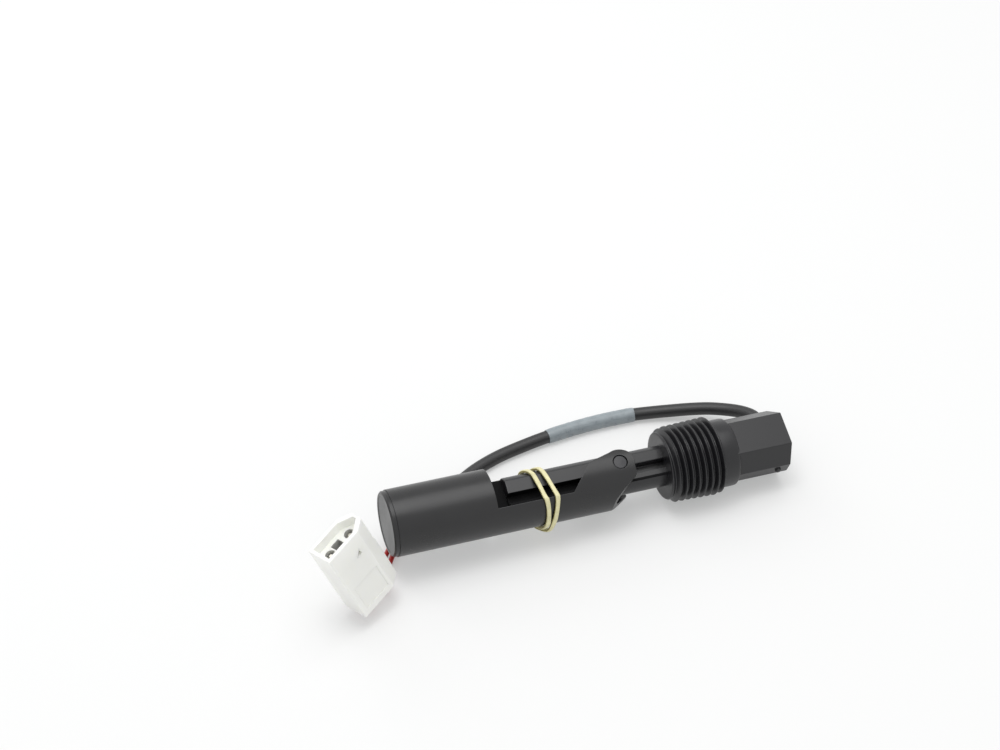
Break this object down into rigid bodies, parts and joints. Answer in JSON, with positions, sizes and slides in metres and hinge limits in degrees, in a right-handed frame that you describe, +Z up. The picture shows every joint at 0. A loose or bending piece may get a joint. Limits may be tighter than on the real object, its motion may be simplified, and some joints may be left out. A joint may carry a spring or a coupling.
{
  "type": "float switch",
  "caption": "Side-mounted float switch: hinged round float with a trough over a grooved stem, tapered pipe thread, hexagon, and a cable with a white plug.",
  "frame": {"origin": "on the table that the switch lies on, below the middle of the switch without its cable and plug", "axes": "+X along the switch from the float's tail to the hexagon, +Z up from the table"},
  "size_m": [0.1338, 0.0515, 0.0301],
  "materials": {
    "body": "matt moulded dark grey plastic with a faint sheen",
    "float": "matt moulded dark grey plastic",
    "pin": "matt moulded grey plastic",
    "band": "pale yellow natural rubber",
    "magnet": "sintered black magnet",
    "glass": "green tinted glass",
    "reed_metal": "plated nickel-iron",
    "sleeve_white": "white insulating sleeve",
    "solder": "tinned",
    "red_wire": "red PVC insulation",
    "potting": "black epoxy",
    "jacket": "black PVC, semi-matt",
    "grey_sleeve": "grey shrink sleeve, bare",
    "nylon": "natural white nylon, slightly translucent",
    "contact_metal": "tin plated brass"
  },
  "bodies": {
    "stem_body": {"switch_body": "body", "pivot_pins": "pin", "rubber_band": "band", "reed_glass": "glass", "reed_blade_front": "reed_metal", "reed_blade_rear": "reed_metal", "return_sleeve": "sleeve_white", "solder_joints": "solder", "core_wire_a": "red_wire", "core_wire_b": "red_wire", "potting_fill": "potting", "cable_jacket": "jacket", "marker_sleeve": "grey_sleeve", "plug_housing": "nylon", "contact_pin_a": "contact_metal", "contact_pin_b": "contact_metal", "lead_wire_a": "red_wire", "lead_wire_b": "red_wire"},
    "float_body": {"float_shell": "float", "float_cap": "float", "float_magnet": "magnet"}
  },
  "joints": [
    {"name": "float_hinge", "type": "hinge", "parent": "stem_body", "child": "float_body", "pos_m": [0.00773, 0, 0.01171], "axis": [0.0377, -0.342, 0.9389], "range_deg": [0, 40], "deforming": ["rubber_band"]}
  ]
}
